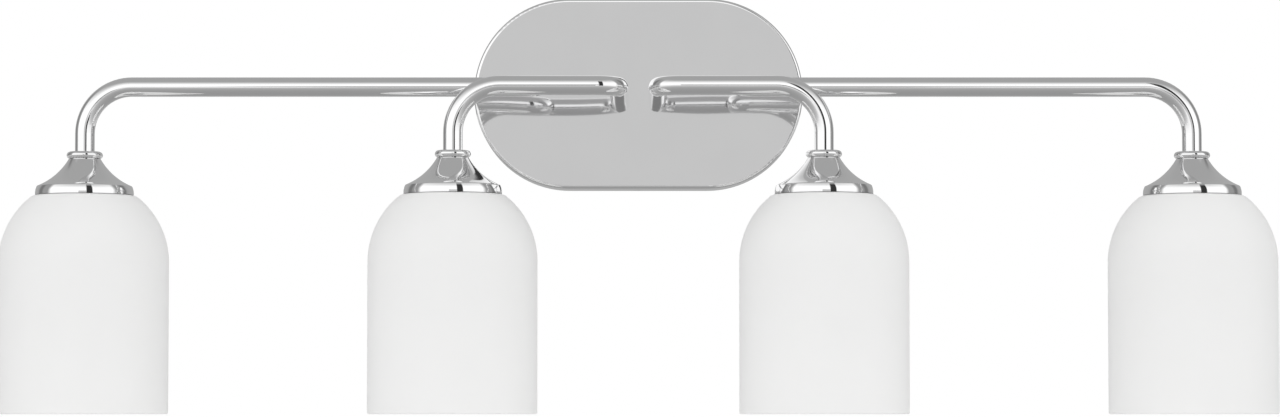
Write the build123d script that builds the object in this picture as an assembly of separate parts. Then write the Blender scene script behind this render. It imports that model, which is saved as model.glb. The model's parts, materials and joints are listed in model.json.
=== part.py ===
from build123d import *
import math
import os

# Four-lamp vanity bar for a bathroom wall, in millimetres.
# The wall is the plane Y = 0 and the room is towards -Y. +Z is up, +X is to the right of someone facing the wall.
# The origin is the centre of the backplate, on the wall. A bracket is screwed to the wall box, the backplate
# is a pressed shell held on the bracket by two set screws, and two bent inner arms stand out of the backplate.
# A longer outer arm is brazed to the back of each inner arm. Every arm ends in a turned collar, a flared
# holder, a ceramic socket and a bell-shaped opal glass shade that a threaded ring holds from below.
# The names of lamps count from the centre: inner_left, inner_right, outer_left and outer_right.

# ---- Driving dimensions: whole light ----
LAMP_SPACING = 228.6
ARM_STANDOFF = 80.0  # backplate's face to the axis of an inner arm
ARM_ROOT_X = 12.4  # centre of the backplate to the root of an inner arm
ARM_LEVEL = -1.5  # the arms' axes from the centre of the backplate, upwards
JUNCTION_X = 62.0  # where the outer arm enters the back of the inner arm

# ---- Driving dimensions: backplate, bracket and what fastens them ----
PLATE_WIDTH = 209.4
PLATE_HEIGHT = 121.4
PLATE_DEPTH = 25.0
PLATE_SHEET = 1.0
PLATE_EDGE_RADIUS = 2.0
STIFFENER_MARGIN = 15.0  # past the axes of the arm roots
STIFFENER_HEIGHT = 36.0
STIFFENER_THICKNESS = 2.0
BRACKET_WIDTH = 32.0
BRACKET_THICKNESS = 1.5
BRACKET_TAB = 13.0
BRACKET_BEND = 2.5
BRACKET_CLEARANCE = 0.1
STIFFENER_CORNER = 4.0
BOX_SLOT_SPACING = 79.4
BOX_SLOT_LENGTH = 23.5
BOX_SLOT_WIDTH = 4.4
WIRE_HOLE_DIAMETER = 22.0
SET_SCREW_DIAMETER = 4.0
SET_SCREW_LENGTH = 7.0
SET_SCREW_Y = 8.0
SET_SCREW_KEY = 2.0
SET_SCREW_POINT = 0.6
SET_SCREW_CLEARANCE = 0.15

# ---- Driving dimensions: arms ----
TUBE_DIAMETER = 12.0
TUBE_WALL = 1.0
ARM_BEND_RADIUS = 29.0
ELBOW_RADIUS = 14.0
ARM_GAP = 1.0  # between an inner arm and the outer arm behind it
SPIGOT_WALL = 1.0
SPIGOT_BRAZE_LENGTH = 10.0
SPIGOT_LENGTH = 11.0
WASHER_DIAMETER = 18.0
WASHER_THICKNESS = 1.2
ARM_NUT_ACROSS_FLATS = 14.0
ARM_NUT_THICKNESS = 4.0
THREAD_CLEARANCE = 0.05
HOLE_CLEARANCE = 0.2

# ---- Driving dimensions: collar, holder and socket, measured down from the arm's axis ----
TUBE_DROP = 42.5
COLLAR_BEAD_RADIUS = 2.25
COLLAR_DIAMETER = 22.2
COLLAR_BASE = 44.7
HOLDER_NECK_DIAMETER = 19.6
HOLDER_FLARE_RADIUS = 39.6
HOLDER_FLARE_START = 30.0  # degrees from vertical
HOLDER_FLARE_END = 68.0
HOLDER_RIM_DIAMETER = 60.6
HOLDER_RIM_START = 26.0
HOLDER_RIM_CORNER = 1.0
HOLDER_RIM_BOTTOM = 67.2
HOLDER_SHEET = 1.2
HOLDER_WEB = 2.5
NIPPLE_WALL = 1.45
NIPPLE_GRIP = 9.0
NIPPLE_NUT_THICKNESS = 3.0
SOCKET_TOP = 52.5
SOCKET_BOSS_DIAMETER = 20.0
SOCKET_BOSS_HEIGHT = 4.5
SOCKET_THREAD_DEPTH = 6.5
SOCKET_SHOULDER_WIDTH = 3.0
SOCKET_SHOULDER_CLEARANCE = 3.1  # inside the holder's flare
SOCKET_CONE_HEIGHT = 1.5
SOCKET_BARREL_DIAMETER = 39.0
SOCKET_CHAMFER = 1.0
SOCKET_BOTTOM = 90.5
SOCKET_CAVITY_TOP = 67.5
SHELL_BORE = 26.8
SHELL_WALL = 0.5
SHELL_RECESS = 1.5
SHELL_FLANGE_BORE = 12.0
CONTACT_DIAMETER = 9.0
CONTACT_THICKNESS = 1.0
CONTACT_DOME = 1.2

# ---- Driving dimensions: shade, gasket and ring ----
SHADE_DIAMETER = 104.5
SHADE_WALL = 3.0
SHADE_TOP = 67.5
SHADE_BOTTOM = 202.5
SHADE_DOME_HEIGHT = 52.2  # of the whole half ellipse, above the straight wall
SHADE_DOME_CENTRE = 108.9
SHADE_DOME_SPANS = 8  # of the curve from the straight wall to the crown
SHADE_HOLE_CLEARANCE = 1.5  # around the socket's barrel
SHADE_SHOULDER_RADIUS = 5.0
SHADE_LIP_RADIUS = 1.2
GASKET_THICKNESS = 1.7
GASKET_MARGIN = 2.1  # inside the holder's rim
GASKET_CLEARANCE = 0.5  # around the socket's barrel
RING_DIAMETER = 56.0
RING_FLANGE = 2.6
RING_SLEEVE_WALL = 3.1
RING_SLEEVE_HEIGHT = 9.0
RING_CLEARANCE = 0.1
RING_GRIP_COUNT = 24
RING_GRIP_RADIUS = 0.8

# ---- Driving dimensions: bulb ----
BULB_GAP = 0.3  # tip to socket contact, and base to socket shell
BULB_LENGTH = 108.0
BULB_DIAMETER = 60.0
BULB_GLASS = 1.2
BULB_NECK_DIAMETER = 24.0
BULB_NECK_INSERT = 6.0
BULB_SHOULDER_ANGLE = 55.0
BULB_BASE_LENGTH = 25.5
BULB_BASE_SHEET = 0.7
BULB_THREAD_PITCH = 3.63
BULB_THREAD_DEPTH = 0.8
BULB_THREAD_TURNS = 5
BULB_TIP_DIAMETER = 10.0
BULB_TIP_HEIGHT = 1.1
BULB_INSULATOR_HEIGHT = 2.9

# ---- Driving dimensions: wiring ----
LEAD_DIAMETER = 2.0
LEAD_OFFSET = 1.3  # from the axis of the tube it runs in
LEAD_TURN = 3.0
LEAD_PLANE_Y = 8.0
LEAD_FIRST_Z = 11.4
LEAD_STEP_Z = 2.6
WIRE_NUT_MOUTH_X = 38.0
WIRE_NUT_LENGTH = 24.0
WIRE_NUT_DIAMETER = 17.0
WIRE_NUT_TIP_DIAMETER = 11.0
WIRE_NUT_RECESS = 8.0
WIRE_NUT_TIP_RADIUS = 2.0
WIRE_NUT_WALL = 2.3
LEAD_IN_NUT = 5.0
LEAD_IN_SOCKET = 4.0  # past the end of the nipple
GROUND_X = 9.0
GROUND_Z = 25.5
GROUND_BOSS_DIAMETER = 9.0
GROUND_BOSS_HEIGHT = 3.5
GROUND_SCREW_DIAMETER = 4.0
GROUND_HEAD_DIAMETER = 8.0
GROUND_HEAD_HEIGHT = 2.4
GROUND_SLOT = 1.0
LUG_THICKNESS = 0.8
LUG_DIAMETER = 8.0
LUG_BARREL_DIAMETER = 3.6
LUG_BARREL_LENGTH = 7.0
GROUND_WIRE_TURN = 8.0

# ---- Values that follow from the driving dimensions ----
TUBE_RADIUS = TUBE_DIAMETER / 2
TUBE_BORE_RADIUS = TUBE_RADIUS - TUBE_WALL
SPIGOT_RADIUS = TUBE_BORE_RADIUS
INNER_Y = -(PLATE_DEPTH + ARM_STANDOFF)
ARM_SPACING_Y = TUBE_DIAMETER + ARM_GAP
OUTER_Y = INNER_Y + ARM_SPACING_Y
INNER_X = LAMP_SPACING / 2
OUTER_X = LAMP_SPACING * 1.5
LAMPS = {
    "inner_left": (-INNER_X, INNER_Y),
    "inner_right": (INNER_X, INNER_Y),
    "outer_left": (-OUTER_X, OUTER_Y),
    "outer_right": (OUTER_X, OUTER_Y),
}
SIDES = {"left": -1, "right": 1}
PLATE_INSIDE_Y = -(PLATE_DEPTH - PLATE_SHEET)
STIFFENER_Y = PLATE_INSIDE_Y + STIFFENER_THICKNESS
WASHER_Y = STIFFENER_Y + WASHER_THICKNESS
ARM_NUT_Y = WASHER_Y + ARM_NUT_THICKNESS
BRACKET_HALF_HEIGHT = PLATE_HEIGHT / 2 - PLATE_SHEET - BRACKET_CLEARANCE
NIPPLE_RADIUS = TUBE_BORE_RADIUS - THREAD_CLEARANCE
NIPPLE_BORE_RADIUS = NIPPLE_RADIUS - NIPPLE_WALL
NIPPLE_HOLE_RADIUS = NIPPLE_RADIUS + THREAD_CLEARANCE
NIPPLE_BOTTOM = SOCKET_TOP + SOCKET_THREAD_DEPTH
HOLDER_WEB_BOTTOM = COLLAR_BASE + HOLDER_WEB
LEAD_END = NIPPLE_BOTTOM + LEAD_IN_SOCKET
LEAD_WELL_BOTTOM = LEAD_END + LEAD_DIAMETER / 4
SHADE_RADIUS = SHADE_DIAMETER / 2
SHADE_INSIDE_TOP = SHADE_TOP + SHADE_WALL
SOCKET_SEAT = SHADE_TOP - GASKET_THICKNESS
SOCKET_BARREL_RADIUS = SOCKET_BARREL_DIAMETER / 2
CONTACT_BOTTOM = SOCKET_CAVITY_TOP + CONTACT_THICKNESS + CONTACT_DOME
BULB_TIP = CONTACT_BOTTOM + BULB_GAP
BULB_BASE_RADIUS = SHELL_BORE / 2 - BULB_GAP
BULB_BASE_TOP = BULB_TIP + BULB_TIP_HEIGHT + BULB_INSULATOR_HEIGHT
BULB_BASE_BOTTOM = BULB_TIP + BULB_BASE_LENGTH


# ---- Small helpers ----
def region(left, right, low, high):
    """Rectangle in the (radius, height) plane."""
    return Pos((left + right) / 2, (low + high) / 2) * Rectangle(right - left, high - low)


def turned(sketch):
    """Solid of revolution about Z from a sketch whose x is the radius and whose y is the height."""
    return revolve(Plane.XZ * sketch, Axis.Z)


def turned_outline(points):
    """Solid of revolution about Z from a closed outline of (radius, depth below the arm's axis) points."""
    return turned(make_face(Polyline(*[(r, -depth) for r, depth in points], close=True)))


def disc(radius, top, bottom):
    """Upright cylinder about Z between two depths below the arm's axis."""
    return Pos(0, 0, -(top + bottom) / 2) * Cylinder(radius, bottom - top)


def rod_y(radius, x, z, low_y, high_y):
    """Cylinder along Y."""
    return Pos(x, (low_y + high_y) / 2, z) * Rot(90, 0, 0) * Cylinder(radius, high_y - low_y)


def rod_x(radius, y, z, low_x, high_x):
    """Cylinder along X."""
    return Pos((low_x + high_x) / 2, y, z) * Rot(0, 90, 0) * Cylinder(radius, high_x - low_x)


def rod_z(radius, x, y, low_z, high_z):
    """Cylinder along Z."""
    return Pos(x, y, (low_z + high_z) / 2) * Cylinder(radius, high_z - low_z)


def hexagon_y(across_flats, x, z, low_y, high_y):
    """Hexagonal prism along Y, flats up and down."""
    flat = RegularPolygon(across_flats / 2, 6, major_radius=False)
    return extrude(Plane((x, high_y, z), x_dir=(1, 0, 0), z_dir=(0, -1, 0)) * flat, high_y - low_y)


def swept(radius, points, radii):
    """Round bar along straight runs joined by tangent arcs."""
    path = FilletPolyline(*points, radius=radii)
    section = Plane(origin=path @ 0, z_dir=path % 0) * Circle(radius)
    return sweep(section, path=path)


def at_arm_level(piece):
    """A piece drawn with the arms' axes at height 0, lowered to where the arms are."""
    return Pos(0, 0, ARM_LEVEL) * piece


def at_lamps(piece):
    """One copy of a piece under each arm's end, as separate solids."""
    return Compound(children=[Pos(x, y, ARM_LEVEL) * piece for x, y in LAMPS.values()])


def together(pieces):
    """Separate solids in one node."""
    return Compound(children=list(pieces))


# ---- Backplate and wall fixing ----
def stadium(width, height, depth):
    """Stadium-shaped slab that stands on the wall."""
    return extrude(Plane.XZ * SlotOverall(width, height), depth)


def set_screw_holes(radius):
    """The line of the two set screws, through the top and bottom of the shell."""
    return rod_z(radius, 0, -SET_SCREW_Y, -PLATE_HEIGHT, PLATE_HEIGHT)


def arm_root_holes(low_y, high_y):
    radius = SPIGOT_RADIUS + HOLE_CLEARANCE
    return [rod_y(radius, side * ARM_ROOT_X, ARM_LEVEL, low_y, high_y) for side in SIDES.values()]


def backplate():
    outside = stadium(PLATE_WIDTH, PLATE_HEIGHT, PLATE_DEPTH)
    outside = fillet(outside.faces().sort_by(Axis.Y)[0].edges(), PLATE_EDGE_RADIUS)
    inside = stadium(
        PLATE_WIDTH - 2 * PLATE_SHEET,
        PLATE_HEIGHT - 2 * PLATE_SHEET,
        PLATE_DEPTH - PLATE_SHEET,
    )
    inside_radius = max(PLATE_EDGE_RADIUS - PLATE_SHEET, PLATE_SHEET)
    inside = fillet(inside.faces().sort_by(Axis.Y)[0].edges(), inside_radius)
    shell = outside - inside
    shell -= arm_root_holes(-PLATE_DEPTH - 1, PLATE_INSIDE_Y + 1)
    return shell - set_screw_holes(SET_SCREW_DIAMETER / 2 + SET_SCREW_CLEARANCE)


def stiffener_plate():
    width = 2 * (ARM_ROOT_X + STIFFENER_MARGIN)
    outline = RectangleRounded(width, STIFFENER_HEIGHT, STIFFENER_CORNER)
    plate = Pos(0, STIFFENER_Y, ARM_LEVEL) * extrude(Plane.XZ * outline, STIFFENER_THICKNESS)
    return plate - arm_root_holes(PLATE_INSIDE_Y - 1, STIFFENER_Y + 1)


def wall_bracket():
    high = 2 * BRACKET_HALF_HEIGHT
    middle_y = -BRACKET_TAB / 2
    block = Pos(0, middle_y, 0) * Box(BRACKET_WIDTH, BRACKET_TAB, high)
    corners = block.edges().filter_by(Axis.X).group_by(Axis.Y)[-1]
    block = fillet(corners, BRACKET_BEND)
    inner_high = high - 2 * BRACKET_THICKNESS
    hollow = Pos(0, middle_y - BRACKET_THICKNESS, 0) * Box(BRACKET_WIDTH + 2, BRACKET_TAB, inner_high)
    corners = hollow.edges().filter_by(Axis.X).group_by(Axis.Y)[-1]
    hollow = fillet(corners, BRACKET_BEND - BRACKET_THICKNESS)
    strap = block - hollow
    boss_y = -(BRACKET_THICKNESS + GROUND_BOSS_HEIGHT)
    strap += rod_y(GROUND_BOSS_DIAMETER / 2, -GROUND_X, GROUND_Z, boss_y, -BRACKET_THICKNESS)
    strap -= rod_y(GROUND_SCREW_DIAMETER / 2, -GROUND_X, GROUND_Z, boss_y - 1, -BRACKET_THICKNESS / 2)
    strap -= rod_y(WIRE_HOLE_DIAMETER / 2, 0, 0, -BRACKET_THICKNESS - 1, 1)
    slot = SlotOverall(BOX_SLOT_LENGTH, BOX_SLOT_WIDTH, rotation=90)
    for side in SIDES.values():
        place = Plane((0, 1, side * BOX_SLOT_SPACING / 2), x_dir=(1, 0, 0), z_dir=(0, -1, 0))
        strap -= extrude(place * slot, BRACKET_THICKNESS + 2)
    return strap - set_screw_holes(SET_SCREW_DIAMETER / 2)


def set_screws():
    key = RegularPolygon(SET_SCREW_KEY / 2, 6, major_radius=False)
    screw = Pos(0, 0, PLATE_HEIGHT / 2 - SET_SCREW_LENGTH / 2) * Cylinder(
        SET_SCREW_DIAMETER / 2, SET_SCREW_LENGTH
    )
    screw = chamfer(screw.edges().sort_by(Axis.Z)[0], SET_SCREW_POINT)
    key_depth = SET_SCREW_LENGTH / 3
    screw -= Pos(0, 0, PLATE_HEIGHT / 2 - key_depth) * extrude(key, key_depth + 1)
    top = Pos(0, -SET_SCREW_Y, 0) * screw
    return together([top, mirror(top, Plane.XY)])


# ---- Arms ----
def arm_inner(side):
    root_x = side * ARM_ROOT_X
    lamp_x = side * INNER_X
    corners = [(root_x, INNER_Y, 0), (lamp_x, INNER_Y, 0)]
    radii = [ELBOW_RADIUS, ARM_BEND_RADIUS]
    end = (lamp_x, INNER_Y, -TUBE_DROP)
    past_end = (lamp_x, INNER_Y, -TUBE_DROP - 1)
    tube = swept(TUBE_RADIUS, [(root_x, -PLATE_DEPTH, 0), *corners, end], radii)
    braze_y = -(PLATE_DEPTH + SPIGOT_BRAZE_LENGTH)
    bore = swept(TUBE_BORE_RADIUS, [(root_x, braze_y, 0), *corners, past_end], radii)
    spigot_end = -PLATE_DEPTH + SPIGOT_LENGTH
    arm = tube + rod_y(SPIGOT_RADIUS, root_x, 0, -PLATE_DEPTH, spigot_end)
    arm -= bore
    arm -= rod_y(SPIGOT_RADIUS - SPIGOT_WALL, root_x, 0, braze_y - 1, spigot_end + 1)
    wire_hole_x = side * (JUNCTION_X - LEAD_DIAMETER)
    return arm - rod_y(TUBE_BORE_RADIUS - 1, wire_hole_x, 0, INNER_Y, INNER_Y + TUBE_DIAMETER)


def arm_outer(side):
    branch_x = side * JUNCTION_X
    lamp_x = side * OUTER_X
    start_y = INNER_Y + TUBE_RADIUS / 4
    branch_radius = ARM_SPACING_Y - TUBE_RADIUS / 3
    corners = [(branch_x, OUTER_Y, 0), (lamp_x, OUTER_Y, 0)]
    radii = [branch_radius, ARM_BEND_RADIUS]
    tube = swept(
        TUBE_RADIUS,
        [(branch_x, start_y, 0), *corners, (lamp_x, OUTER_Y, -TUBE_DROP)],
        radii,
    )
    bore = swept(
        TUBE_BORE_RADIUS,
        [(branch_x, INNER_Y, 0), *corners, (lamp_x, OUTER_Y, -TUBE_DROP - 1)],
        radii,
    )
    reach = TUBE_DIAMETER * 1.5
    inner_tube = rod_x(TUBE_RADIUS, INNER_Y, 0, branch_x - reach, branch_x + reach)
    return tube - bore - inner_tube


def arm_washers():
    ring = [
        rod_y(WASHER_DIAMETER / 2, side * ARM_ROOT_X, 0, STIFFENER_Y, WASHER_Y)
        - rod_y(SPIGOT_RADIUS + THREAD_CLEARANCE, side * ARM_ROOT_X, 0, STIFFENER_Y - 1, WASHER_Y + 1)
        for side in SIDES.values()
    ]
    return at_arm_level(together(ring))


def arm_nuts():
    nuts = [
        hexagon_y(ARM_NUT_ACROSS_FLATS, side * ARM_ROOT_X, 0, WASHER_Y, ARM_NUT_Y)
        - rod_y(SPIGOT_RADIUS + THREAD_CLEARANCE, side * ARM_ROOT_X, 0, WASHER_Y - 1, ARM_NUT_Y + 1)
        for side in SIDES.values()
    ]
    return at_arm_level(together(nuts))


# ---- Collar, holder and nipple ----
def tube_collar():
    bead_radius = COLLAR_DIAMETER / 2 - COLLAR_BEAD_RADIUS
    seat = TUBE_DROP
    section = Pos(bead_radius, -(COLLAR_BASE - COLLAR_BEAD_RADIUS)) * Circle(COLLAR_BEAD_RADIUS)
    top = COLLAR_BASE - 1.6 * COLLAR_BEAD_RADIUS
    section += region(NIPPLE_HOLE_RADIUS, bead_radius, -COLLAR_BASE, -top)
    section -= region(0, TUBE_RADIUS, -seat, 0)
    return turned(section)


def flare_point(angle, offset=0.0):
    """Point of the holder's flare where its slope is angle degrees from vertical, as (radius, height)."""
    start, turn = math.radians(HOLDER_FLARE_START), math.radians(angle)
    centre_r = HOLDER_NECK_DIAMETER / 2 + HOLDER_FLARE_RADIUS * math.cos(start)
    centre_z = -COLLAR_BASE + HOLDER_FLARE_RADIUS * math.sin(start)
    reach = HOLDER_FLARE_RADIUS + offset
    return centre_r - reach * math.cos(turn), centre_z - reach * math.sin(turn)


def holder_inside_depth(radius):
    """Depth below the arm's axis at which the inside of the flare has a given radius."""
    start = math.radians(HOLDER_FLARE_START)
    centre_r = HOLDER_NECK_DIAMETER / 2 + HOLDER_FLARE_RADIUS * math.cos(start)
    reach = HOLDER_FLARE_RADIUS + HOLDER_SHEET
    turn = math.acos((centre_r - radius) / reach)
    return COLLAR_BASE - HOLDER_FLARE_RADIUS * math.sin(start) + reach * math.sin(turn)


def holder():
    middle = (HOLDER_FLARE_START + HOLDER_FLARE_END) / 2
    rim = HOLDER_RIM_DIAMETER / 2
    flare_end = flare_point(HOLDER_FLARE_END)
    rim_radius = (rim - flare_end[0]) / (1 - math.cos(math.radians(HOLDER_RIM_START)))
    band_drop = rim_radius * math.sin(math.radians(HOLDER_RIM_START))
    half = math.radians(HOLDER_RIM_START / 2)
    band_middle = (
        rim - rim_radius * (1 - math.cos(half)),
        flare_end[1] - band_drop + rim_radius * math.sin(half),
    )
    band_end = (rim, flare_end[1] - band_drop)
    outline = [
        ThreePointArc(flare_point(HOLDER_FLARE_START), flare_point(middle), flare_end),
        ThreePointArc(flare_end, band_middle, band_end),
        Polyline(
            band_end,
            (rim, -HOLDER_RIM_BOTTOM),
            (0, -HOLDER_RIM_BOTTOM),
            (0, -COLLAR_BASE),
            flare_point(HOLDER_FLARE_START),
        ),
    ]
    section = make_face(outline)
    corner = section.vertices().sort_by_distance(Vector(*flare_end))[0]
    body = turned(fillet(corner, HOLDER_RIM_CORNER))
    inside_start = flare_point(HOLDER_FLARE_START, HOLDER_SHEET)
    inside_end = flare_point(HOLDER_FLARE_END, HOLDER_SHEET)
    inside_rim = rim - HOLDER_SHEET
    hollow = [
        ThreePointArc(inside_start, flare_point(middle, HOLDER_SHEET), inside_end),
        Polyline(
            inside_end,
            (inside_rim, band_end[1]),
            (inside_rim, -HOLDER_RIM_BOTTOM - 1),
            (0, -HOLDER_RIM_BOTTOM - 1),
            (0, inside_start[1]),
            inside_start,
        ),
    ]
    below_web = region(0, rim + 1, -HOLDER_RIM_BOTTOM - 2, -HOLDER_WEB_BOTTOM)
    body -= turned(make_face(hollow) & below_web)
    return body - disc(NIPPLE_HOLE_RADIUS, COLLAR_BASE - 1, HOLDER_RIM_BOTTOM)


def nipple():
    top = TUBE_DROP - NIPPLE_GRIP
    return disc(NIPPLE_RADIUS, top, NIPPLE_BOTTOM) - disc(NIPPLE_BORE_RADIUS, top - 1, NIPPLE_BOTTOM + 1)


def nipple_nut():
    flat = RegularPolygon(ARM_NUT_ACROSS_FLATS / 2, 6, major_radius=False)
    bottom = HOLDER_WEB_BOTTOM + NIPPLE_NUT_THICKNESS
    nut = Pos(0, 0, -bottom) * extrude(flat, NIPPLE_NUT_THICKNESS)
    return nut - disc(NIPPLE_HOLE_RADIUS, HOLDER_WEB_BOTTOM - 1, bottom + 1)


# ---- Socket ----
def socket_body():
    boss = SOCKET_BOSS_DIAMETER / 2
    barrel = SOCKET_BARREL_RADIUS
    shoulder = barrel + SOCKET_SHOULDER_WIDTH
    boss_bottom = SOCKET_TOP + SOCKET_BOSS_HEIGHT
    shoulder_top = holder_inside_depth(shoulder + SOCKET_SHOULDER_CLEARANCE)
    outline = [
        (0, SOCKET_TOP),
        (boss, SOCKET_TOP),
        (boss, boss_bottom),
        (barrel - SOCKET_CONE_HEIGHT, shoulder_top - SOCKET_CONE_HEIGHT),
        (barrel, shoulder_top),
        (shoulder, shoulder_top),
        (shoulder, SOCKET_SEAT),
        (barrel, SOCKET_SEAT),
        (barrel, SOCKET_BOTTOM - SOCKET_CHAMFER),
        (barrel - SOCKET_CHAMFER, SOCKET_BOTTOM),
        (0, SOCKET_BOTTOM),
    ]
    body = turned_outline(outline)
    body -= disc(NIPPLE_HOLE_RADIUS, SOCKET_TOP - 1, NIPPLE_BOTTOM)
    body -= disc(NIPPLE_BORE_RADIUS, NIPPLE_BOTTOM - 1, LEAD_WELL_BOTTOM)
    cavity = SHELL_BORE / 2 + SHELL_WALL + BULB_GAP
    return body - disc(cavity, SOCKET_CAVITY_TOP, SOCKET_BOTTOM + 1)


def socket_shell():
    bore = SHELL_BORE / 2
    outside = bore + SHELL_WALL
    bottom = SOCKET_BOTTOM - SHELL_RECESS
    tube = disc(outside, SOCKET_CAVITY_TOP, bottom) - disc(bore, SOCKET_CAVITY_TOP + SHELL_WALL, bottom + 1)
    return tube - disc(SHELL_FLANGE_BORE / 2, SOCKET_CAVITY_TOP - 1, bottom)


def center_contact():
    top = SOCKET_CAVITY_TOP
    radius = CONTACT_DIAMETER / 2
    base = top + CONTACT_THICKNESS
    outline = [(0, top), (radius, top), (radius, base), (radius / 2, base)]
    outline += [(radius / 3, base + CONTACT_DOME), (0, base + CONTACT_DOME)]
    return turned_outline(outline)


# ---- Shade and what holds it ----
def bell(radius, dome, bottom):
    """Half section of a straight-sided bell with an elliptical dome, drawn as one smooth curve."""
    turns = [math.pi / 2 * i / SHADE_DOME_SPANS for i in range(SHADE_DOME_SPANS + 1)]
    points = [(radius * math.cos(t), dome * math.sin(t) - SHADE_DOME_CENTRE) for t in turns]
    crown = Spline(*points, tangents=[(0, 1), (-1, 0)])
    sides = Polyline(points[-1], (0, -bottom), (radius, -bottom), points[0])
    return make_face([crown, sides])


def shade():
    hole = SOCKET_BARREL_RADIUS + SHADE_HOLE_CLEARANCE
    keep = region(hole, SHADE_RADIUS + 1, -SHADE_BOTTOM, -SHADE_TOP)
    outer = bell(SHADE_RADIUS, SHADE_DOME_HEIGHT, SHADE_BOTTOM) & keep
    hollow_keep = region(0, SHADE_RADIUS, -SHADE_BOTTOM - 1, -SHADE_INSIDE_TOP)
    hollow = bell(SHADE_RADIUS - SHADE_WALL, SHADE_DOME_HEIGHT - SHADE_WALL, SHADE_BOTTOM + 1) & hollow_keep
    section = outer - hollow
    shoulder = section.vertices().group_by(Axis.Y)[-1].sort_by(Axis.X)[-1]
    section = fillet(shoulder, SHADE_SHOULDER_RADIUS)
    section = fillet(section.vertices().group_by(Axis.Y)[0], SHADE_LIP_RADIUS)
    return turned(section)


def shade_gasket():
    outside = HOLDER_RIM_DIAMETER / 2 - HOLDER_SHEET - GASKET_MARGIN
    bore = SOCKET_BARREL_RADIUS + GASKET_CLEARANCE
    return disc(outside, SOCKET_SEAT, SHADE_TOP) - disc(bore, SOCKET_SEAT - 1, SHADE_TOP + 1)


def shade_ring():
    bore = SOCKET_BARREL_RADIUS + RING_CLEARANCE
    flange_bottom = SHADE_INSIDE_TOP + RING_FLANGE
    sleeve_bottom = flange_bottom + RING_SLEEVE_HEIGHT
    ring = disc(RING_DIAMETER / 2, SHADE_INSIDE_TOP, flange_bottom)
    ring += disc(bore + RING_SLEEVE_WALL, flange_bottom, sleeve_bottom)
    ring -= disc(bore, SHADE_INSIDE_TOP - 1, sleeve_bottom + 1)
    grip = Pos(RING_DIAMETER / 2, 0, 0) * disc(RING_GRIP_RADIUS, SHADE_INSIDE_TOP - 1, flange_bottom + 1)
    step = 360 / RING_GRIP_COUNT
    return ring - [Rot(0, 0, step * i) * grip for i in range(RING_GRIP_COUNT)]


# ---- Bulb ----
def bulb_outline(radius, neck, ball_z):
    """Curve of a pear-shaped bulb from its neck to its crown, as edges in the (radius, height) plane."""
    turn = math.radians(BULB_SHOULDER_ANGLE)
    meet = (radius * math.sin(turn), ball_z + radius * math.cos(turn))
    neck_low = (neck, -BULB_BASE_BOTTOM - 2)
    side = (radius * math.sin((math.pi + turn) / 2), ball_z + radius * math.cos((math.pi + turn) / 2))
    waist = Spline(neck_low, meet, tangents=[(0, -1), (math.cos(turn), -math.sin(turn))])
    return [waist, ThreePointArc(meet, side, (0, ball_z - radius))]


def bulb_glass():
    ball_z = -(BULB_TIP + BULB_LENGTH - BULB_DIAMETER / 2)
    neck = BULB_NECK_DIAMETER / 2
    top = -(BULB_BASE_BOTTOM - BULB_NECK_INSERT)
    solids = []
    for skin, above in ((0.0, 0.0), (BULB_GLASS, 1.0)):
        outline = bulb_outline(BULB_DIAMETER / 2 - skin, neck - skin, ball_z)
        close = Polyline(
            (0, ball_z - BULB_DIAMETER / 2 + skin),
            (0, top + above),
            (neck - skin, top + above),
            (neck - skin, -BULB_BASE_BOTTOM - 2),
        )
        solids.append(turned(make_face([*outline, close])))
    return solids[0] - solids[1]


def bulb_base():
    crest = BULB_BASE_RADIUS
    root = crest - BULB_THREAD_DEPTH
    start = BULB_BASE_TOP + 1.5
    pitch = BULB_THREAD_PITCH
    outline = [(root - 1, BULB_BASE_TOP), (root, start)]
    for turn in range(BULB_THREAD_TURNS):
        top = start + turn * pitch
        outline += [(crest, top + 0.3 * pitch), (crest, top + 0.55 * pitch), (root, top + 0.85 * pitch)]
    outline += [(crest, BULB_BASE_BOTTOM - 1.5), (crest, BULB_BASE_BOTTOM)]
    neck = BULB_NECK_DIAMETER / 2
    outline += [(neck, BULB_BASE_BOTTOM), (neck, BULB_BASE_BOTTOM - BULB_NECK_INSERT)]
    inside = root - BULB_BASE_SHEET
    outline += [(inside, BULB_BASE_BOTTOM - BULB_NECK_INSERT), (inside, start), (inside - 1, BULB_BASE_TOP)]
    return turned_outline(outline)


def bulb_insulator():
    """Black glass button that carries the tip."""
    wide = BULB_BASE_RADIUS - BULB_THREAD_DEPTH - BULB_BASE_SHEET - 1
    narrow = BULB_TIP_DIAMETER / 2
    top = BULB_TIP + BULB_TIP_HEIGHT
    outline = [(0, top), (narrow, top), (wide, BULB_BASE_TOP), (wide + 1, BULB_BASE_TOP + 1.5)]
    return turned_outline([*outline, (0, BULB_BASE_TOP + 1.5)])


def bulb_tip():
    radius = BULB_TIP_DIAMETER / 2
    bottom = BULB_TIP + BULB_TIP_HEIGHT
    outline = [(0, BULB_TIP), (radius * 0.6, BULB_TIP), (radius, BULB_TIP + BULB_TIP_HEIGHT / 2)]
    return turned_outline([*outline, (radius, bottom), (0, bottom)])


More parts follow.
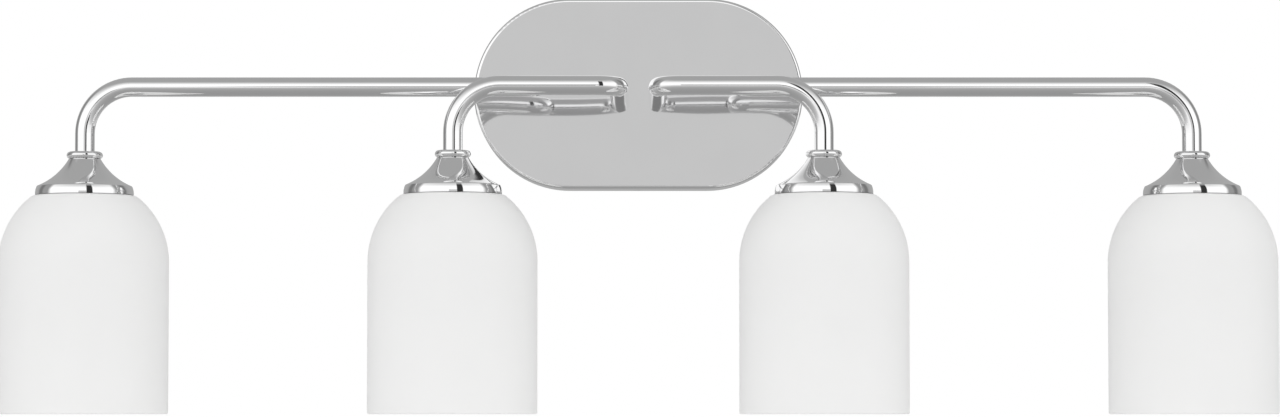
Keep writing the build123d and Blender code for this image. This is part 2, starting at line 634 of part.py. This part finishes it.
# ---- Wiring ----
def lead_points(side, outer_lamp, colour_sign):
    """Route of one lead from its wire nut to its socket. colour_sign is 1 for black and -1 for white.
    A white lead is the black one of the other side, turned half round about the Y axis."""
    black_side = side * colour_sign
    order = {(-1, True): 0, (-1, False): 1, (1, False): 2, (1, True): 3}[(black_side, outer_lamp)]
    level = LEAD_FIRST_Z + LEAD_STEP_Z * order
    offset = LEAD_OFFSET
    root_x = black_side * (ARM_ROOT_X + (offset if outer_lamp else -offset))
    run_y = INNER_Y + (offset if outer_lamp else -offset)
    nut_x = -WIRE_NUT_MOUTH_X - LEAD_IN_NUT
    points = [(nut_x, -LEAD_PLANE_Y, level), (root_x, -LEAD_PLANE_Y, level)]
    points += [(root_x, -LEAD_PLANE_Y, offset), (root_x, run_y, offset)]
    radii = [LEAD_TURN, LEAD_TURN, ELBOW_RADIUS]
    lamp_x, drop_y = INNER_X, run_y
    if outer_lamp:
        cross = ARM_SPACING_Y * 0.7
        points.append((black_side * (JUNCTION_X - cross), run_y, offset))
        points.append((black_side * (JUNCTION_X + cross), OUTER_Y, offset))
        radii += [LEAD_TURN, LEAD_TURN]
        lamp_x, drop_y = OUTER_X, OUTER_Y
    drop_x = black_side * (lamp_x + offset * colour_sign)
    points.append((drop_x, drop_y, offset))
    radii.append(ARM_BEND_RADIUS)
    points = [(x * colour_sign, y, z * colour_sign) for x, y, z in points]
    last = points[-1]
    return [*points, (last[0], last[1], -LEAD_END)], radii


def leads(colour_sign):
    made = []
    for side in SIDES.values():
        for outer_lamp in (False, True):
            points, radii = lead_points(side, outer_lamp, colour_sign)
            made.append(swept(LEAD_DIAMETER / 2, points, radii))
    return at_arm_level(together(made))


def wire_nut(mouth_x, y, z, away):
    """Cone-shaped wire connector that lies along X; away is the direction from its mouth to its tip."""
    wide, tip = WIRE_NUT_DIAMETER / 2, WIRE_NUT_TIP_DIAMETER / 2
    skirt = WIRE_NUT_RECESS / 2
    outline = [(0, 0), (wide, 0), (wide, skirt), (tip, WIRE_NUT_LENGTH), (0, WIRE_NUT_LENGTH)]
    body = turned(make_face(Polyline(*outline, close=True)))
    body = fillet(body.faces().sort_by(Axis.Z)[-1].edges(), WIRE_NUT_TIP_RADIUS)
    recess = Pos(0, 0, WIRE_NUT_RECESS / 2) * Cylinder(wide - WIRE_NUT_WALL, WIRE_NUT_RECESS)
    return Pos(mouth_x, y, z) * Rot(0, 90 * away, 0) * (body - recess)


def wire_nuts():
    middle_z = LEAD_FIRST_Z + 1.5 * LEAD_STEP_Z
    black = at_arm_level(wire_nut(-WIRE_NUT_MOUTH_X, -LEAD_PLANE_Y - 1, middle_z, -1))
    white = at_arm_level(wire_nut(WIRE_NUT_MOUTH_X, -LEAD_PLANE_Y - 1, -middle_z, 1))
    ground = wire_nut(WIRE_NUT_MOUTH_X, -LEAD_PLANE_Y - 1, GROUND_Z, 1)
    return together([black, white, ground])


def lug_low_y():
    return -(BRACKET_THICKNESS + GROUND_BOSS_HEIGHT + LUG_THICKNESS)


def lug_barrel_ends():
    start = -GROUND_X + LUG_DIAMETER / 2 + 0.5
    return start, start + LUG_BARREL_LENGTH


def ground_lug():
    high_y = -(BRACKET_THICKNESS + GROUND_BOSS_HEIGHT)
    low_x, high_x = lug_barrel_ends()
    low_y = lug_low_y()
    ring = rod_y(LUG_DIAMETER / 2, -GROUND_X, GROUND_Z, low_y, high_y)
    tongue = Pos((low_x + 1 - GROUND_X) / 2, (low_y + high_y) / 2, GROUND_Z) * Box(
        low_x + 1 + GROUND_X, LUG_THICKNESS, LUG_BARREL_DIAMETER
    )
    barrel = rod_x(LUG_BARREL_DIAMETER / 2, lug_wire_y(), GROUND_Z, low_x, high_x)
    lug = ring + tongue + barrel
    return lug - rod_y(GROUND_SCREW_DIAMETER / 2, -GROUND_X, GROUND_Z, low_y - 1, high_y + 1)


def lug_wire_y():
    """The barrel lies on the lug's tongue, so its axis is proud of it."""
    return lug_low_y() + LUG_THICKNESS / 2 - LUG_BARREL_DIAMETER / 4


def ground_screw():
    head_y = lug_low_y()
    shaft_end = -BRACKET_THICKNESS
    head = rod_y(GROUND_HEAD_DIAMETER / 2, -GROUND_X, GROUND_Z, head_y - GROUND_HEAD_HEIGHT, head_y)
    slot = Pos(-GROUND_X, head_y - GROUND_HEAD_HEIGHT, GROUND_Z) * Box(
        GROUND_HEAD_DIAMETER + 1, GROUND_HEAD_HEIGHT, GROUND_SLOT
    )
    shaft_radius = GROUND_SCREW_DIAMETER / 2 - THREAD_CLEARANCE
    return head - slot + rod_y(shaft_radius, -GROUND_X, GROUND_Z, head_y - 0.2, shaft_end)


def ground_wire():
    start = lug_barrel_ends()[1]
    end = WIRE_NUT_MOUTH_X + LEAD_IN_NUT
    middle = (start + end) / 2
    points = [
        (start, lug_wire_y(), GROUND_Z),
        (middle - 6, lug_wire_y(), GROUND_Z),
        (middle + 6, -LEAD_PLANE_Y - 1, GROUND_Z),
        (end, -LEAD_PLANE_Y - 1, GROUND_Z),
    ]
    return swept(LEAD_DIAMETER / 2, points, [GROUND_WIRE_TURN, GROUND_WIRE_TURN])


# ---- Write one file per node ----
def nodes():
    made = {
        "backplate": backplate(),
        "stiffener_plate": stiffener_plate(),
        "wall_bracket": wall_bracket(),
        "set_screws": set_screws(),
        "arm_washers": arm_washers(),
        "arm_nuts": arm_nuts(),
        "tube_collars": at_lamps(tube_collar()),
        "nipples": at_lamps(nipple()),
        "nipple_nuts": at_lamps(nipple_nut()),
        "center_contacts": at_lamps(center_contact()),
        "shade_gaskets": at_lamps(shade_gasket()),
        "black_leads": leads(1),
        "white_leads": leads(-1),
        "wire_nuts": wire_nuts(),
        "ground_screw": ground_screw(),
        "ground_lug": ground_lug(),
        "ground_wire": ground_wire(),
    }
    for name, side in SIDES.items():
        made["arm_inner_" + name] = at_arm_level(arm_inner(side))
        made["arm_outer_" + name] = at_arm_level(arm_outer(side))
    per_lamp = {
        "holder_": holder(),
        "socket_body_": socket_body(),
        "socket_shell_": socket_shell(),
        "shade_": shade(),
        "shade_ring_": shade_ring(),
        "bulb_glass_": bulb_glass(),
        "bulb_base_": bulb_base(),
        "bulb_insulator_": bulb_insulator(),
        "bulb_tip_": bulb_tip(),
    }
    for lamp, (x, y) in LAMPS.items():
        for prefix, piece in per_lamp.items():
            made[prefix + lamp] = Pos(x, y, ARM_LEVEL) * piece
    return made


os.makedirs("parts", exist_ok=True)
for name, shape in nodes().items():
    export_step(shape, f"parts/{name}.step")
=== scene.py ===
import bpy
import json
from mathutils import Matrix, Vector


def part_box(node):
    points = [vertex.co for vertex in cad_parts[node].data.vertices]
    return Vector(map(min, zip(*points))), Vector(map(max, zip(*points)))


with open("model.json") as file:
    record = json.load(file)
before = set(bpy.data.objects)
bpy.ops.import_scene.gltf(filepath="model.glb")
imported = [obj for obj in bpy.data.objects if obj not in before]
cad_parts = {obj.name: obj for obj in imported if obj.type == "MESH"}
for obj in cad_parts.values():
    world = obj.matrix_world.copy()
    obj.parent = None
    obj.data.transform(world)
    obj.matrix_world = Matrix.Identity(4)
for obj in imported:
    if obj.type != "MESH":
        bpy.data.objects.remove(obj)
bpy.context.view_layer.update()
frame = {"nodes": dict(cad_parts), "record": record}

import json
import math

import bpy

# A four-lamp vanity bar in polished chrome with etched opal glass shades, in metres.
# The wall is the plane Y = 0, the room is towards -Y and +X is to the right of someone who faces the wall.

MM = 0.001
LAMPS = ("outer_left", "inner_left", "inner_right", "outer_right")

# ---- Studio ----
CAMERA_ACROSS = 0.001  # to the right of the centre
CAMERA_DISTANCE = 2.400  # in front of the shades
CAMERA_TILT = 3.024  # degrees upwards
CAMERA_LENS = 109.5
FLOOR_DROP = 8.8  # below the backplate, lower than any view from underneath stands
FLOOR_SIZE = 120.0
FLOOR_ROUGHNESS = 0.9
FLOOR_SHADES = (0.90, 0.93)
FLOOR_BLOTCH = 1.5
# Brightness of the studio's surroundings as polished metal mirrors them
SOFTBOX = 1.22
CEILING = 0.40
SIDE = 0.34
CORNER = 0.20
BACK = 0.42
FLAG = 0.04
GREY_CARD = 0.62
DARK_CAMERA = 0.22
MIRRORED_FLOOR = 0.27
MIRRORED_FLOOR_RISE = 0.0095  # more for each metre away from the light
# Where they are, in degrees: a bearing is from straight out of the wall towards +X, an edge is the same on
# both sides, and a height is above the horizon
FRONT_EDGE = 83
CORNER_EDGES = (108, 124)
BACK_EDGE = 130
CEILING_HEIGHT = 45
SOFTBOX_HEIGHT = 14
SOFTBOX_REACH = 50  # above and below its brightest height
FLAG_BEARINGS = (12.5, 27)
FLAG_HEIGHTS = (-30, 44)
CARD_BEARINGS = (-6, 12.5)
CARD_HEIGHTS = (-1, 9)
DARK_CAMERA_BEARINGS = (-4.5, 4.5)
DARK_CAMERA_HEIGHTS = (-7, -1.5)
# Brightness of the same surroundings as they light everything that is not a mirror
FRONT_LIGHT = 1.15
TOP_LIGHT = 0.90
LIT_EDGE = 90
TOP_HEIGHT = 50
LIT_SOFTNESS = 40

# ---- Chrome ----
DULL_CHROME = (0.865, 0.865, 0.87)
BRIGHT_CHROME = (0.905, 0.905, 0.905)
CHROME_ROUGHNESS = 0.03
TUBE_WAVE = 0.02 * MM
SHEET_WAVE = 0.9 * MM  # on the backplate, which is thin pressed sheet


# ---- Node graphs ----
class Value:
    """A socket of a node graph. Arithmetic on it adds Math nodes."""

    def __init__(self, graph, socket):
        self.graph = graph
        self.socket = socket

    def math(self, operation, *operands):
        return self.graph.node("ShaderNodeMath", dict(enumerate(operands)), operation=operation)

    def __add__(self, other):
        return self.math("ADD", self, other)

    __radd__ = __add__

    def __sub__(self, other):
        return self.math("SUBTRACT", self, other)

    def __rsub__(self, other):
        return self.math("SUBTRACT", other, self)

    def __mul__(self, other):
        return self.math("MULTIPLY", self, other)

    __rmul__ = __mul__

    def __truediv__(self, other):
        return self.math("DIVIDE", self, other)

    def __neg__(self):
        return self.math("MULTIPLY", self, -1.0)

    def __abs__(self):
        return self.math("ABSOLUTE", self)

    def rise(self, edge, soft):
        """0 below an edge and 1 above it, with a smooth change as wide as soft on both sides."""
        ends = {"Value": self, "From Min": edge - soft, "From Max": edge + soft}
        return self.graph.node("ShaderNodeMapRange", ends, interpolation_type="SMOOTHSTEP")

    def inside(self, low, high, soft):
        """1 between two edges and 0 outside them."""
        return self.rise(low, soft) * (1 - self.rise(high, soft))

    def spread(self, low, high):
        """A value from 0 to 1 taken to a value from low to high."""
        return self * (high - low) + low


def pick(sockets, key):
    """A node's socket by its number, or by name among those that its settings leave in use."""
    if isinstance(key, int):
        return sockets[key]
    return next(socket for socket in sockets if socket.enabled and socket.name == key)


class Graph:
    """A node tree that is filled by calls."""

    def __init__(self, tree):
        self.tree = tree

    def node(self, kind, inputs=None, out=0, **settings):
        """Adds a node, with its settings first and then its sockets, and gives one output."""
        made = self.tree.nodes.new(kind)
        for name, value in settings.items():
            setattr(made, name, value)
        for key, value in (inputs or {}).items():
            socket = pick(made.inputs, key)
            if isinstance(value, Value):
                self.tree.links.new(value.socket, socket)
            else:
                socket.default_value = value
        return Value(self, pick(made.outputs, out) if made.outputs else None)

    def blend(self, start, end, share):
        """A value that goes from start to end as share goes from 0 to 1."""
        inputs = {"Factor": share, "A": start, "B": end}
        return self.node("ShaderNodeMix", inputs, out="Result", data_type="FLOAT")


# ---- World, light and camera ----
def directions(graph):
    """A ray's direction in degrees: its bearing, from straight out of the wall towards +X, and its height."""
    direction = graph.node("ShaderNodeTexCoord", out="Generated")
    split = graph.node("ShaderNodeSeparateXYZ", {"Vector": direction}).socket.node
    across, ahead, up = [Value(graph, socket) for socket in split.outputs]
    bearing = across.math("ARCTAN2", across, -ahead) * math.degrees(1)
    height = up.math("ARCSINE", up) * math.degrees(1)
    return bearing, height


def mirrored_studio(graph, bearing, height):
    """What polished metal sees: a broad softbox in front, greys round it, a dark flag and a grey card.

    The last number of each rise or inside is its softness in degrees. The glow's is in shares of its reach.
    """
    aside = abs(bearing)
    front = 1 - aside.rise(FRONT_EDGE, 7)
    light = graph.blend(SIDE, BACK, aside.rise(BACK_EDGE, 15))
    light = graph.blend(light, CORNER, aside.inside(*CORNER_EDGES, 5))
    light = graph.blend(light, CEILING, height.rise(CEILING_HEIGHT, 12))
    glow = (1 - abs(height - SOFTBOX_HEIGHT) / SOFTBOX_REACH).rise(0.5, 0.5)
    light = graph.blend(light, CEILING, front)
    light = graph.blend(light, SOFTBOX, glow * front)
    flag = bearing.inside(*FLAG_BEARINGS, 1) * height.inside(*FLAG_HEIGHTS, 8)
    light = graph.blend(light, FLAG, flag)
    card = bearing.inside(*CARD_BEARINGS, 0.7) * height.inside(*CARD_HEIGHTS, 0.7)
    light = graph.blend(light, GREY_CARD, card)
    dark = bearing.inside(*DARK_CAMERA_BEARINGS, 0.8) * height.inside(*DARK_CAMERA_HEIGHTS, 0.8)
    return graph.blend(light, DARK_CAMERA, dark)


def studio_world():
    """A white background to the eye, an even light on dull surfaces and a full studio in the mirrors."""
    world = bpy.data.worlds.new("studio")
    world.use_nodes = True
    world.node_tree.nodes.clear()
    graph = Graph(world.node_tree)
    bearing, height = directions(graph)
    light = mirrored_studio(graph, bearing, height)
    ahead = (1 - abs(bearing).rise(LIT_EDGE, LIT_SOFTNESS)) * (1 - height.rise(TOP_HEIGHT, LIT_SOFTNESS))
    even = graph.blend(TOP_LIGHT, FRONT_LIGHT, ahead)
    light = graph.blend(light, even, graph.node("ShaderNodeLightPath", out="Is Diffuse Ray"))
    light = graph.blend(light, 1.0, graph.node("ShaderNodeLightPath", out="Is Camera Ray"))
    background = graph.node("ShaderNodeBackground", {"Color": light, "Strength": 1.0})
    graph.node("ShaderNodeOutputWorld", {"Surface": background})
    bpy.context.scene.world = world


def camera():
    """In front of the shades at the height of their mouths, tilted up a little."""
    shade_y = [sum(corner[1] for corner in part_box("shade_" + lamp)) / 2 for lamp in LAMPS]
    shade_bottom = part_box("shade_" + LAMPS[0])[0][2]
    made = bpy.data.cameras.new("camera")
    made.lens = CAMERA_LENS
    made.clip_start, made.clip_end = 0.01, 200.0
    placed = bpy.data.objects.new("camera", made)
    placed.location = (CAMERA_ACROSS, sum(shade_y) / len(shade_y) - CAMERA_DISTANCE, shade_bottom)
    placed.rotation_euler = (math.radians(90 + CAMERA_TILT), 0, 0)
    bpy.context.scene.collection.objects.link(placed)
    bpy.context.scene.camera = placed


def floor():
    """A plain sheet far below, wide enough to reach the horizon."""
    mesh = bpy.data.meshes.new("floor")
    half = FLOOR_SIZE / 2
    corners = [(-half, -half), (half, -half), (half, half), (-half, half)]
    mesh.from_pydata([(x, y, -FLOOR_DROP) for x, y in corners], [], [(0, 1, 2, 3)])
    placed = bpy.data.objects.new("floor", mesh)
    bpy.context.scene.collection.objects.link(placed)
    placed.data.materials.append(pale_floor())


# ---- Materials ----
def material(name, **constants):
    """A Principled material. Gives (graph, shader, object coordinates, material)."""
    made = bpy.data.materials.new(name)
    made.use_nodes = True
    made.node_tree.nodes.clear()
    graph = Graph(made.node_tree)
    shader = graph.node("ShaderNodeBsdfPrincipled", constants)
    graph.node("ShaderNodeOutputMaterial", {"Surface": shader})
    place = graph.node("ShaderNodeTexCoord", out="Object")
    return graph, shader.socket.node, place, made


def feed(graph, shader, **links):
    """Links values to a shader's sockets. Underscores in a name stand for spaces."""
    for name, value in links.items():
        graph.tree.links.new(value.socket, shader.inputs[name.replace("_", " ")])


def noise(graph, place, size, detail=3.0):
    """Noise from 0 to 1 whose blotches are about size metres across."""
    return graph.node("ShaderNodeTexNoise", {"Vector": place, "Scale": 1 / size, "Detail": detail})


def stretched(graph, place, stretch):
    """Coordinates scaled along each axis, for a pattern with a grain."""
    return graph.node("ShaderNodeMapping", {"Vector": place, "Scale": stretch})


def tint(graph, share, dark, light):
    """Colour that goes from dark to light as share goes from 0 to 1."""
    inputs = {"Factor": share, "A": (*dark, 1.0), "B": (*light, 1.0)}
    return graph.node("ShaderNodeMix", inputs, out="Result", data_type="RGBA")


def bump(graph, height, depth):
    """A surface that stands up to depth metres high where height is 1."""
    return graph.node("ShaderNodeBump", {"Height": height, "Distance": depth, "Strength": 1.0})


def pale_floor():
    """Pale to the eye, and a soft grey, lighter far away, where polished metal mirrors it."""
    graph, shader, place, made = material("pale_floor", Roughness=FLOOR_ROUGHNESS)
    shade = noise(graph, place, FLOOR_BLOTCH).spread(*FLOOR_SHADES)
    away = graph.node("ShaderNodeVectorMath", {0: place}, out="Value", operation="LENGTH")
    mirrored = graph.node("ShaderNodeLightPath", out="Is Glossy Ray")
    shade = graph.blend(shade, away * MIRRORED_FLOOR_RISE + MIRRORED_FLOOR, mirrored)
    grey = graph.node("ShaderNodeCombineColor", {"Red": shade, "Green": shade, "Blue": shade})
    feed(graph, shader, Base_Color=grey)
    return made


def chrome(name, wave):
    """Plated chrome: a bright mirror with waves this high, faint polishing haze and a few hair scratches."""
    graph, shader, place, made = material(name, Metallic=1.0)
    haze = noise(graph, place, 30 * MM)
    hair = noise(graph, stretched(graph, place, (1.0, 6.0, 40.0)), 6 * MM, 2.0)
    scratch = hair.rise(0.70, 0.04)
    swell = noise(graph, place, 50 * MM, 0.0)
    feed(
        graph,
        shader,
        Base_Color=tint(graph, haze, DULL_CHROME, BRIGHT_CHROME),
        Roughness=haze.spread(CHROME_ROUGHNESS, CHROME_ROUGHNESS * 2) + scratch * CHROME_ROUGHNESS,
        Normal=bump(graph, swell, wave),
    )
    return made


def zinc_steel():
    """Zinc-plated pressed steel: cool grey, rolled one way, with soft blotches."""
    graph, shader, place, made = material("zinc_steel", Metallic=1.0)
    rolled = noise(graph, stretched(graph, place, (30.0, 30.0, 1.0)), 12 * MM)
    blotch = noise(graph, place, 7 * MM)
    feed(
        graph,
        shader,
        Base_Color=tint(graph, blotch, (0.46, 0.47, 0.49), (0.66, 0.67, 0.68)),
        Roughness=(rolled + blotch).spread(0.18, 0.36),
        Normal=bump(graph, rolled, 0.02 * MM),
    )
    return made


def opal_glass():
    """Cased white glass, acid-etched to a satin outside."""
    depths = {"Subsurface Weight": 0.25, "Subsurface Radius": (0.01, 0.01, 0.01), "Subsurface Scale": 0.5}
    graph, shader, place, made = material("opal_glass", IOR=1.5, **depths)
    cloud = noise(graph, place, 45 * MM)
    etch = noise(graph, place, 0.35 * MM, 2.0)
    feed(
        graph,
        shader,
        Base_Color=tint(graph, cloud, (0.905, 0.905, 0.90), (0.935, 0.935, 0.93)),
        Roughness=etch.spread(0.40, 0.54),
        Normal=bump(graph, etch, 0.012 * MM),
    )
    return made


def frosted_bulb():
    """Thin glass, frosted white."""
    depths = {"Subsurface Weight": 0.1, "Subsurface Scale": 0.01}
    graph, shader, place, made = material("frosted_bulb", **depths)
    grain = noise(graph, place, 0.4 * MM, 2.0)
    feed(
        graph,
        shader,
        Base_Color=tint(graph, noise(graph, place, 20 * MM), (0.86, 0.86, 0.83), (0.91, 0.91, 0.89)),
        Roughness=grain.spread(0.28, 0.42),
        Normal=bump(graph, grain, 0.01 * MM),
    )
    return made


def moulded(name, dark, light, gloss, **constants):
    """Plastic, rubber, black glass and dyed metal: even colour, fine grain, slight flow marks."""
    graph, shader, place, made = material(name, **constants)
    flow = noise(graph, place, 9 * MM)
    grain = noise(graph, place, 0.5 * MM, 2.0)
    feed(
        graph,
        shader,
        Base_Color=tint(graph, flow, dark, light),
        Roughness=(flow + grain).spread(gloss / 2, gloss),
        Normal=bump(graph, grain, 0.01 * MM),
    )
    return made


def rolled_metal(name, dark, light, gloss):
    """Stamped, rolled, drawn or tinned metal: fine lines round the part and tarnish in soft patches."""
    graph, shader, place, made = material(name, Metallic=1.0)
    lines = noise(graph, stretched(graph, place, (1.0, 1.0, 40.0)), 5 * MM)
    tarnish = noise(graph, place, 4 * MM)
    feed(
        graph,
        shader,
        Base_Color=tint(graph, tarnish, dark, light),
        Roughness=(lines + tarnish).spread(gloss / 2, gloss),
        Normal=bump(graph, lines, 0.008 * MM),
    )
    return made


def finishes():
    """One material for each slot of the record."""
    return {
        "polished_chrome": chrome("polished_chrome", TUBE_WAVE),
        "zinc_steel": zinc_steel(),
        "opal_glass": opal_glass(),
        "bulb_glass": frosted_bulb(),
        "black_glass": moulded("black_glass", (0.012, 0.012, 0.014), (0.03, 0.03, 0.034), 0.12),
        "bulb_cap": rolled_metal("bulb_cap", (0.62, 0.62, 0.62), (0.82, 0.82, 0.82), 0.3),
        "solder": rolled_metal("solder", (0.45, 0.46, 0.47), (0.62, 0.63, 0.64), 0.5),
        "socket_plastic": moulded("socket_plastic", (0.80, 0.80, 0.78), (0.86, 0.86, 0.84), 0.28),
        "ring_plastic": moulded("ring_plastic", (0.78, 0.78, 0.76), (0.85, 0.85, 0.83), 0.5),
        "brass": rolled_metal("brass", (0.62, 0.43, 0.17), (0.84, 0.66, 0.33), 0.35),
        "gasket_rubber": moulded("gasket_rubber", (0.70, 0.70, 0.68), (0.78, 0.78, 0.76), 0.8),
        "black_insulation": moulded("black_insulation", (0.012, 0.012, 0.012), (0.03, 0.03, 0.03), 0.5),
        "white_insulation": moulded("white_insulation", (0.72, 0.72, 0.70), (0.82, 0.82, 0.80), 0.5),
        "bare_copper": rolled_metal("bare_copper", (0.62, 0.28, 0.16), (0.86, 0.48, 0.32), 0.4),
        "connector_plastic": moulded("connector_plastic", (0.72, 0.27, 0.02), (0.86, 0.36, 0.04), 0.45),
        "green_screw": moulded("green_screw", (0.015, 0.16, 0.05), (0.03, 0.28, 0.09), 0.35, Metallic=0.7),
        "tinned_copper": rolled_metal("tinned_copper", (0.52, 0.51, 0.49), (0.72, 0.71, 0.69), 0.45),
    }


def finish_nodes(made):
    """Gives every node its slot's finish, and the backplate a wavier mirror than the tubes."""
    slots = {row["node"]: row["material_slot"] for row in frame["record"]["subparts"]}
    chosen = {name: made[slots[name]] for name in frame["nodes"]}
    chosen["backplate"] = chrome("pressed_chrome", SHEET_WAVE)
    for name, node in frame["nodes"].items():
        node.data.materials.clear()
        node.data.materials.append(chosen[name])


studio_world()
camera()
floor()
finish_nodes(finishes())
bpy.context.scene.view_settings.view_transform = "Standard"
